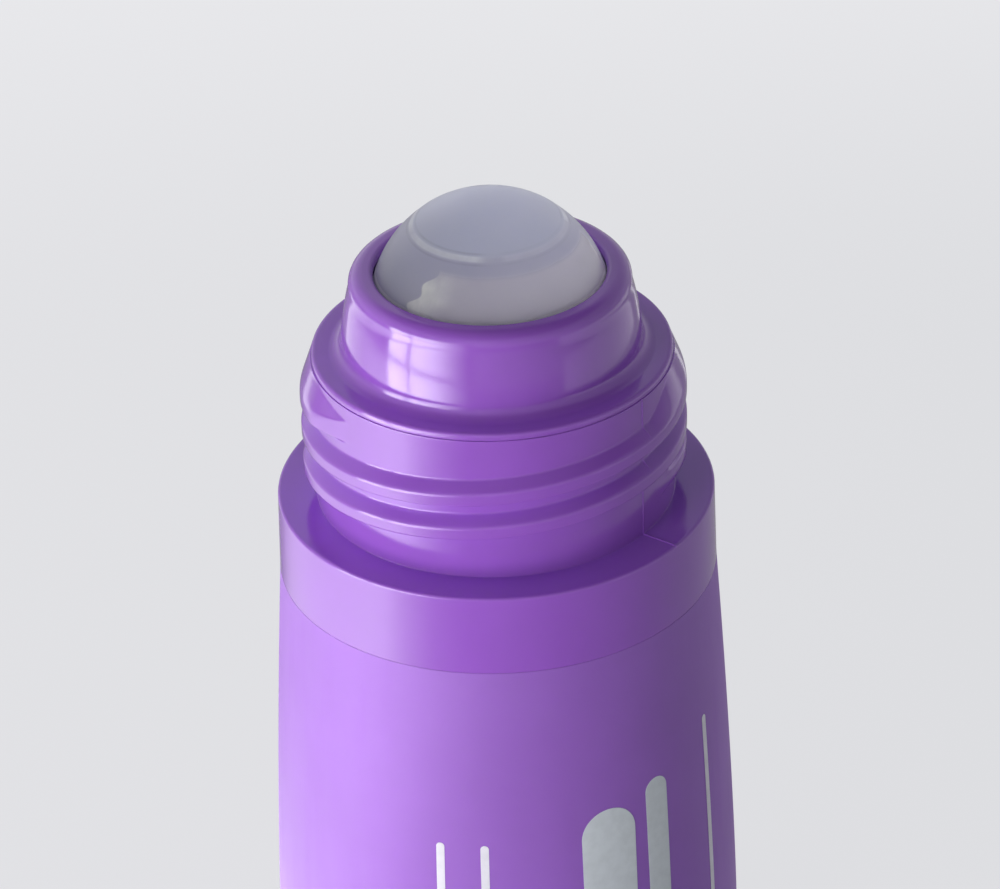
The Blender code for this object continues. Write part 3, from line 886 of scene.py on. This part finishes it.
def ballMaterial():
    k = ballLook
    material, tree, shader = newMaterial("milky_ball")
    point = output(tree, "ShaderNodeMapping", {"Vector": objectPoint(tree), "Location": (0, 0, -ballCentre)})
    x, y, z = split(point)
    reach = levels(addNode(tree, "ShaderNodeVectorMath", {0: point}, operation="LENGTH"))["Value"]
    fromTop = calc("ARCCOSINE", z / reach)
    turn = turnShare(x, y) * tau
    # Inside the ring the ball keeps a bluer patch; the ring is a milky band between thin dark lines
    ring = ballShape["ringAngle"]
    inside = span(fromTop, *(ring + edge for edge in k["insideEdge"]), smooth=True)
    across = calc("ABSOLUTE", fromTop - ring)
    bead = span(across, *k["ringEdge"], 1.0, 0.0, smooth=True)
    line = span(calc("ABSOLUTE", across - k["lineAt"]), *k["lineEdge"], 1.0, 0.0)
    # It is thickest at the left of the front, broken in the middle and thin on the right
    worn = span(noise(point, k["wornScale"], 3.0), 0.3, 0.62, 0.35, 1.0)
    fromBreak = calc("ABSOLUTE", turn - k["breakAt"])
    broken = span(fromBreak, *k["breakEdge"], k["breakShare"], 1.0, smooth=True)
    present = worn * broken * span(turn, *k["ringThins"], 1.0, k["ringThinShare"], smooth=True)
    # The wet film's left edge is painted palest, in streaks: a painted highlight along the film's edge
    film, past = filmMask(fromTop, turn)
    streaks = noise(stretched(point, k["streakStretch"]), k["streakScale"], 3.0)
    pale = film * span(past, *k["paleFades"], 1.0, 0.0, smooth=True)
    pale = pale * span(fromTop, *k["paleBegins"], k["paleTopShare"], 1.0, smooth=True)
    pale = pale * span(streaks, 0.3, 0.7, 0.35, 1.0)
    # A fine pale line of liquid where the ball dips under the lip
    liquid = span(calc("ABSOLUTE", fromTop - k["liquidAt"]), *k["liquidEdge"], 1.0, 0.0)
    cloud = span(noise(point, k["cloudScale"], 3.0), 0.35, 0.65)
    body = mixColour(film, k["plain"], k["wet"])
    body = mixColour(inside, body, k["insideRing"])
    for name, mask in (("cloud", cloud), ("filmEdge", pale), ("ring", bead * present),
                       ("ringLine", line * present), ("liquidLine", liquid)):
        colour, share = k[name]
        body = mixColour(mask * share, body, colour)
    # Painted light: next to the weld the wall is thin and loses light, so a paler colour is painted there to make
    # up for it
    thin = calc("POWER", span(fromTop, *k["weldThins"]), 2.0)
    weld = thin * span(fromTop, *k["weldEnds"], 1.0, 0.0) * span(fromTop, *k["weldSides"], *k["weldShares"])
    dry = span(noise(point, k["smearScale"], 4.0, 0.6), 0.2, 0.8, *k["dryRoughness"])
    ripple = noise(point, k["rippleScale"]) + streaks * film
    wireAll(shader, {
        "Base Color": mixColour(weld, body, k["weld"]),
        "Roughness": mixLevel(film, dry, k["wetRoughness"]),
        "Normal": bump(ripple, k["bumpDepth"], k["bumpStrength"]),
        "IOR": k["index"],
        "Subsurface Weight": 1.0,
        "Subsurface Radius": k["glowRadius"],
        "Subsurface Scale": k["glowDepth"],
    })
    return material


# The satin sleeve and its print
sleeveShape = dict(
    columns=288,
    wall=1.2 * mm,
    joint=0.015 * mm,
    topRound=0.06 * mm,
    proud=0.015 * mm,
    flarePower=1.45,
    rings=48,
    ringCrowding=1.3,
    footRound=1.2 * mm,
    footBevel=0.3 * mm,
    edgeRound=0.1 * mm,
    landInset=1.2 * mm,
    landHeight=6.3 * mm,
    landRound=0.3 * mm,
    landMargin=0.4 * mm,
)


def sleeveRadius(z):
    share = (sleeveTop - z) / sleeveTop
    rise = 1 - max(0, 1 - share) ** sleeveShape["flarePower"]
    return bandFootRadius + (sleeveFootRadius - bandFootRadius) * rise


def makeSleeve(material):
    s = sleeveShape
    top = bottleShape["bandFoot"] - s["joint"]
    wallTop = top - s["topRound"] * 2
    foot = s["footRound"]
    outer = []
    for i in range(s["rings"] + 1):
        z = wallTop - (wallTop - foot) * (i / s["rings"]) ** s["ringCrowding"]
        outer.append((sleeveRadius(min(z, sleeveTop)) + s["proud"] * (z - foot) / top, z))
    edge, wall = outer[0][0], outer[-1][0]
    bore, landFoot = bandFootRadius - s["landInset"], top - s["landHeight"]
    corners = [
        (edge, top, s["topRound"]),
        *[(r, z, 0) for r, z in outer[:-1]],
        (wall, 0, foot),
        (wall - foot - s["footBevel"], 0, s["edgeRound"]),
        *[(r - s["wall"], z, 0) for r, z in reversed(outer) if z < landFoot - s["landMargin"]],
        (bore, landFoot, s["landRound"]),
        (bore, top, s["edgeRound"]),
    ]
    meshMaker, _ = turnOutline(roundCorners(corners), evenAngles(s["columns"]))
    settle(finishMesh("satin_sleeve", meshMaker), "container", "satin_purple", material, "outer_sleeve")


# Plain bars in printed ink, with round ends, in place of lettering
printShape = dict(
    bar={"Ink": 0.03 * mm, "Lift": 0.005 * mm, "Foot": 7.0 * mm, "Columns": 24, "Rows": 120},
    grey=(
        {"Turn": radians(296.0), "Width": 6.4 * mm, "Top": 32.5 * mm},
        {"Turn": radians(310.5), "Width": 3.0 * mm, "Top": 34.0 * mm},
    ),
    white=(
        {"Turn": radians(253.5), "Width": 0.9 * mm, "Top": 30.0 * mm},
        {"Turn": radians(264.5), "Width": 0.9 * mm, "Top": 30.0 * mm},
        {"Turn": radians(331.5), "Width": 0.8 * mm, "Top": 37.0 * mm},
    ),
)


# Wraps a flat round-ended bar on the flared sleeve and gives it the thickness of the ink
def barTree():
    sizes = ("Ink", "Lift", "Turn", "Width", "Top", "Foot", "Sleeve height", "Top radius", "Foot radius", "Power")
    tree, given = geometryTree("Printed bar", sizes, ("Columns", "Rows"))
    height = given["Top"] - given["Foot"]
    grid = {"Size X": given["Width"], "Size Y": height, "Vertices X": given["Columns"], "Vertices Y": given["Rows"]}
    sheet = output(tree, "GeometryNodeMeshGrid", grid)
    across, along, _ = split(output(tree, "GeometryNodeInputPosition"))
    halfHeight = height * 0.5
    halfWidth = given["Width"] * 0.5
    # The rows crowd towards the round ends
    level = calc("SINE", along / halfHeight * (pi / 2)) * halfHeight
    past = calc("ABSOLUTE", level) - (halfHeight - halfWidth)
    pastShare = calc("MAXIMUM", past, 0.0) / halfWidth
    blunt = 0.002  # keeps the ends from closing to a point
    narrowed = across * calc("SQRT", calc("MAXIMUM", 1.0 - pastShare * pastShare, blunt))
    z = level + halfHeight + given["Foot"]
    flare = 1.0 - calc("POWER", z / given["Sleeve height"], given["Power"])
    radius = given["Top radius"] + flare * (given["Foot radius"] - given["Top radius"]) + given["Lift"]
    turn = given["Turn"] + narrowed / radius
    place = {"X": radius * calc("COSINE", turn), "Y": radius * calc("SINE", turn), "Z": z}
    wrapped = output(tree, "ShaderNodeCombineXYZ", place)
    bent = output(tree, "GeometryNodeSetPosition", {"Geometry": sheet, "Position": wrapped})
    thickening = {"Mesh": bent, "Offset Scale": given["Ink"], "Individual": False}
    both = addNode(tree, "GeometryNodeJoinGeometry", {0: output(tree, "GeometryNodeExtrudeMesh", thickening)})
    wire(both.inputs[0], output(tree, "GeometryNodeFlipFaces", {"Mesh": bent}))
    merging = {"Geometry": Level(both.outputs[0]), "Distance": 0.001 * mm}
    return endTree(tree, output(tree, "GeometryNodeMergeByDistance", merging), given["Material"])


def makeBars(name, bars, tree, material):
    for number, bar in enumerate(bars, 1):
        piece = addObject(name + "_" + str(number), bpy.data.meshes.new(name))
        applyTree(piece, tree, {
            **printShape["bar"],
            **bar,
            "Sleeve height": sleeveTop,
            "Top radius": bandFootRadius + sleeveShape["proud"],
            "Foot radius": sleeveFootRadius + sleeveShape["proud"],
            "Power": sleeveShape["flarePower"],
            "Material": material,
        })
        settle(piece, "container", "satin_purple", material)


inkLook = dict(
    grey=(0.70, 0.74, 0.78),
    white=(0.85, 0.82, 0.90),
    thinShade=0.93,
    patchScale=900.0,
    roughness=(0.38, 0.52),
    grainScale=3000.0,
    bumpDepth=0.004 * mm,
)


def inkMaterial(name, colour):
    k = inkLook
    material, tree, shader = newMaterial(name)
    point = objectPoint(tree)
    patch = noise(point, k["patchScale"], 3.0)
    wireAll(shader, {
        "Base Color": mixColour(span(patch, 0.35, 0.7), colour, [c * k["thinShade"] for c in colour]),
        "Roughness": span(patch, 0.3, 0.7, *k["roughness"]),
        "Normal": bump(noise(point, k["grainScale"]), k["bumpDepth"]),
    })
    return material


# The base plug
plugShape = dict(
    columns=192,
    sleeveGap=0.6 * mm,
    rimWall=1.2 * mm,
    floor=1.6 * mm,
    hollow=0.8 * mm,
    standWidth=4.0 * mm,
    standSlope=0.8 * mm,
    seatWall=1.2 * mm,
    seatInset=4.6 * mm,
    seatHeight=1.2 * mm,
    gateRadius=1.6 * mm,
    gateDepth=0.25 * mm,
    gateDraft=0.2 * mm,
    standRound=0.25 * mm,
    wallRound=0.2 * mm,
    edgeRound=0.15 * mm,
    cornerRound=0.4 * mm,
    rootRound=0.3 * mm,
    gateRound=0.1 * mm,
    gateEdge=0.08 * mm,
)


def makePlug(material):
    s = plugShape
    footRadius = sleeveRadius(sleeveShape["footRound"]) - sleeveShape["footRound"] - s["sleeveGap"]
    floorTop = s["hollow"] + s["floor"]
    seat = bandFootRadius - bottleShape["landInset"] - bottleShape["vesselInset"] - s["seatInset"]
    seatBore = seat - s["seatWall"]
    seatTop = floorTop + s["seatHeight"]
    rimBore = plugRadius - s["rimWall"]
    gateTop = s["hollow"] + s["gateDepth"]
    standBore = footRadius - s["standWidth"]
    corners = [
        (footRadius, 0, s["standRound"]),
        (plugRadius, sleeveShape["footRound"], s["wallRound"]),
        (plugRadius, plugHeight, s["edgeRound"]),
        (rimBore, plugHeight, s["edgeRound"]),
        (rimBore, floorTop, s["cornerRound"]),
        (seat, floorTop, s["rootRound"]),
        (seat, seatTop, s["edgeRound"]),
        (seatBore, seatTop, s["edgeRound"]),
        (seatBore, floorTop, s["rootRound"]),
        (0, floorTop, 0),
        (0, gateTop, 0),
        (s["gateRadius"], gateTop, s["gateRound"]),
        (s["gateRadius"] + s["gateDraft"], s["hollow"], s["gateEdge"]),
        (standBore - s["standSlope"], s["hollow"], s["rootRound"]),
        (standBore, 0, s["standRound"]),
    ]
    meshMaker, _ = turnOutline(roundCorners(corners), evenAngles(s["columns"]))
    settle(finishMesh("foot_plug", meshMaker), "container", "satin_purple", material, "base_plug")


liquidLook = dict(
    shades=((0.78, 0.78, 0.84), (0.86, 0.86, 0.9)),
    rippleScale=60.0,
    roughness=(0.04, 0.1),
    clearness=0.85,
    index=1.34,
)


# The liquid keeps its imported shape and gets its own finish
def dressLiquid():
    k = liquidLook
    material, tree, shader = newMaterial("clear_liquid")
    ripple = noise(objectPoint(tree), k["rippleScale"])
    wireAll(shader, {
        "Base Color": mixColour(ripple, *k["shades"]),
        "Roughness": span(ripple, 0.3, 0.7, *k["roughness"]),
        "Transmission Weight": k["clearness"],
        "IOR": k["index"],
    })
    liquid = frame["nodes"]["deodorant_liquid"]
    for slot in liquid.material_slots:
        slot.material = material
    print("liquid dressed")


# The stage: pale floor and background, and what the glossy faces mirror
stageLook = dict(
    reach=3.0,
    matte=(0.74, 0.75, 0.77),
    glowShare=0.94,
    # The floor's glow that the eye sees has painted light: lighter on the left and further back, darker on the
    # right
    paleLeft=(0.785, 0.785, 0.81),
    paleRight=(0.745, 0.75, 0.775),
    paleRange=(-0.12, 0.12),
    paleFar=(0.84, 0.84, 0.865),
    farRange=(0.13, 0.30),
    # What a glossy face mirrors on the table, as degrees round the bottle and brightness
    mirrored=((0, 0.5), (60, 0.35), (105, 0.25), (128, 0.4), (149, 1.6), (173, 2.9), (190, 4.1), (205, 5.2),
              (214, 5.3), (225, 3.0), (238, 0.9), (252, 0.12), (300, 0.1), (320, 0.3), (360, 0.5)),
    mirroredMost=6.0,
    # Between these distances from the bottle it turns to one far level
    mirroredReach=(0.25, 0.42),
    mirroredFar=0.58,
    # The sky's light on matt surfaces: from the left, from the right and from above
    skyDiffuse=(0.12, 0.0, 0.27),
    skySideRange=(-0.9, 0.7),
    skyAboveRange=(0.2, 0.9),
    skyTint=(0.88, 0.94, 1, 1),
    # Brightness mirrored from the horizon, the upper wall and the ceiling, and its shares on the left and right
    skyGlossy=(1.05, 0.8, 0.05),
    wallRange=(0.1, 0.55),
    ceilingRange=(0.58, 0.80),
    skySides=(1.05, 0.70),
    sideRange=(-0.06, 0.06),
    glossTint=(0.97, 0.98, 1, 1),
)


def clearTree(owner):
    owner.use_nodes = True
    owner.node_tree.nodes.clear()
    return owner.node_tree


def mixShader(share, first, second):
    return output(share.tree, "ShaderNodeMixShader", {0: share, 1: first, 2: second})


# Brightness mirrored by glossy faces, from the turn round the bottle
def mirroredBrightness(x, y):
    ramp = addNode(x.tree, "ShaderNodeValToRGB", {0: turnShare(x, y)})
    stops = ramp.color_ramp.elements
    shown, most = stageLook["mirrored"], stageLook["mirroredMost"]
    for degrees, _ in shown[1:-1]:
        stops.new(degrees / 360)
    for stop, (_, brightness) in zip(stops, shown):
        stop.color = (brightness / most,) * 3 + (1,)
    far = span(calc("SQRT", x * x + y * y), *stageLook["mirroredReach"], smooth=True)
    return mixLevel(far, Level(ramp.outputs[0]) * most, stageLook["mirroredFar"])


def addStage():
    k = stageLook
    reach = k["reach"]
    mesh = bpy.data.meshes.new("floor")
    corners = [(-reach, -reach, 0), (reach, -reach, 0), (reach, reach, 0), (-reach, reach, 0)]
    mesh.from_pydata(corners, [], [(0, 1, 2, 3)])
    floor = addObject("floor", mesh)
    material = bpy.data.materials.new("floor_paint")
    tree = clearTree(material)
    seen = levels(addNode(tree, "ShaderNodeLightPath"))
    x, y, _ = split(objectPoint(tree))
    matte = output(tree, "ShaderNodeBsdfDiffuse", {"Color": (*k["matte"], 1)})
    # Painted light: the glow is lighter on the left and further back
    pale = mixColour(span(x, *k["paleRange"]), k["paleLeft"], k["paleRight"])
    pale = mixColour(span(y, *k["farRange"], smooth=True), pale, k["paleFar"])
    glow = output(tree, "ShaderNodeEmission", {"Color": pale})
    mirror = output(tree, "ShaderNodeEmission", {"Strength": mirroredBrightness(x, y)})
    direct = calc("MAXIMUM", seen["Is Camera Ray"], seen["Is Transmission Ray"])
    toEye = mixShader(direct * k["glowShare"], matte, glow)
    addNode(tree, "ShaderNodeOutputMaterial", {0: mixShader(seen["Is Glossy Ray"], toEye, mirror)})
    mesh.materials.append(material)
    print("floor laid")


def addWorld():
    k = stageLook
    world = bpy.data.worlds.new("studio")
    bpy.context.scene.world = world
    tree = clearTree(world)
    seen = levels(addNode(tree, "ShaderNodeLightPath"))
    x, _, z = split(levels(addNode(tree, "ShaderNodeTexCoord"))["Generated"])
    left, right, top = k["skyDiffuse"]
    sides = span(x, *k["skySideRange"], left, right, smooth=True)
    above = span(z, *k["skyAboveRange"], 0.0, top, smooth=True)
    sky = output(tree, "ShaderNodeBackground", {"Color": k["skyTint"], "Strength": sides + above})
    horizon, upperWall, ceiling = k["skyGlossy"]
    wall = span(z, *k["wallRange"], horizon, upperWall)
    level = mixLevel(span(z, *k["ceilingRange"], smooth=True), wall, ceiling)
    strength = level * span(x, *k["sideRange"], *k["skySides"])
    gloss = output(tree, "ShaderNodeBackground", {"Color": k["glossTint"], "Strength": strength})
    pale = output(tree, "ShaderNodeBackground", {"Color": (*k["paleLeft"], 1)})
    direct = calc("MAXIMUM", seen["Is Camera Ray"], seen["Is Transmission Ray"])
    toGloss = mixShader(seen["Is Glossy Ray"], sky, gloss)
    addNode(tree, "ShaderNodeOutputWorld", {0: mixShader(direct, toGloss, pale)})
    print("sky set")


def hideFrom(thing, *rays):
    for ray in rays:
        setattr(thing, "visible_" + ray, False)


# Soft lamps that face the bottle, at a turn in degrees, and a distance and height in metres. They stand low: the
# faces that look up are dark. The milky ball glows evenly, so its own lamps light it
lampPlan = (
    dict(name="windowLow", turn=235, distance=0.20, height=0.035, size=(0.12, 0.07), power=0.160, ball=False),
    dict(name="windowHigh", turn=233, distance=0.30, height=0.12, size=(0.12, 0.06), power=0.290, ball=False),
    dict(name="leftAbove", turn=175, distance=0.30, height=0.45, size=(0.25, 0.25), power=0.10, ball=False),
    dict(name="leftBehind", turn=140, distance=0.40, height=0.22, size=(0.25, 0.20), power=0.495, ball=False),
    dict(name="rightBehind", turn=20, distance=0.50, height=0.10, size=(0.30, 0.16), power=0.42, ball=False),
    dict(name="ballTop", turn=80, distance=0.25, height=0.60, size=(0.5, 0.5), power=2.7, ball=True),
    dict(name="ballFront", turn=285, distance=0.60, height=0.12, size=(0.5, 0.2), power=1.9, ball=True),
)


def addLamp(name, turn, distance, height, size, power, ball):
    light = bpy.data.lights.new(name, "AREA")
    light.shape = "RECTANGLE"
    light.size, light.size_y = size
    light.energy = power
    lamp = addObject(name, light)
    lamp.location = onCircle(distance, radians(turn), height)
    aim = Vector((0, 0, shoulder)) - lamp.location
    lamp.rotation_euler = aim.to_track_quat("-Z", "Y").to_euler()
    hideFrom(lamp, "camera", "glossy", "transmission")
    linked = bpy.data.collections.new(name + " on the ball")
    for half in ("ball_upper", "ball_lower"):
        linked.objects.link(bpy.data.objects[half])
    for member in linked.collection_objects:
        member.light_linking.link_state = "INCLUDE" if ball else "EXCLUDE"
    lamp.light_linking.receiver_collection = linked


# Bright cards round the bottle that only glossy faces see, between turns in degrees and heights. The window has
# panes between bars, and dims to nothing between the turns in fade
cardRing = dict(distance=0.16, steps=10)
cardPlan = (
    dict(name="windowPanes", columns=((190, 206.5), (209, 256)), rows=((8 * mm, 46 * mm), (50.5 * mm, 98 * mm)),
         strength=12.6, fade=(214, 256)),
    dict(name="patchCard", columns=((130, 166),), rows=((6 * mm, 38 * mm),), strength=2.0),
    dict(name="panelCard", columns=((321, 404),), rows=((18 * mm, 60 * mm),), strength=1.1),
    dict(name="slitCard", columns=((419, 424),), rows=((0, 58 * mm),), strength=1.2),
)


def addCard(name, columns, rows, strength, fade=None):
    distance, steps = cardRing["distance"], cardRing["steps"]
    verts, faces = [], []
    for firstTurn, lastTurn in columns:
        for heights in rows:
            start = len(verts)
            for i in range(steps + 1):
                turn = radians(firstTurn + (lastTurn - firstTurn) * i / steps)
                verts += [onCircle(distance, turn, z) for z in heights]
            faces += [(k, k + 1, k + 3, k + 2) for k in range(start, start + 2 * steps, 2)]
    mesh = bpy.data.meshes.new(name)
    mesh.from_pydata(verts, [], faces)
    card = addObject(name, mesh)
    material = bpy.data.materials.new(name)
    tree = clearTree(material)
    if fade:
        x, y, _ = split(objectPoint(tree))
        first, last = (degrees / 360 for degrees in fade)
        strength = span(turnShare(x, y), first, last, strength, 0.0, smooth=True)
    glow = output(tree, "ShaderNodeEmission", {"Strength": strength})
    addNode(tree, "ShaderNodeOutputMaterial", {0: glow})
    mesh.materials.append(material)
    hideFrom(card, "camera", "diffuse", "transmission", "shadow", "volume_scatter")


def addLights():
    for plan in lampPlan:
        addLamp(**plan)
    for plan in cardPlan:
        addCard(**plan)
    print("lamps and cards placed")


# The run
addCamera()
skinGroup = mouldedSkinGroup()
makeBottle(plasticMaterial("gloss_bottle", skinGroup, glossLook))
makeHousing(plasticMaterial("gloss_housing", skinGroup, glossLook))
milky = ballMaterial()
makeBallHalf("ball_upper", True, milky)
makeBallHalf("ball_lower", False, milky)
makeSleeve(plasticMaterial("satin_sleeve", skinGroup, satinLook))
bars = barTree()
makeBars("grey_bar", printShape["grey"], bars, inkMaterial("grey_ink", inkLook["grey"]))
makeBars("white_bar", printShape["white"], bars, inkMaterial("white_ink", inkLook["white"]))
makePlug(plasticMaterial("satin_plug", skinGroup, satinLook))
dressLiquid()
addStage()
addWorld()
addLights()
bpy.context.scene.view_settings.view_transform = "Standard"
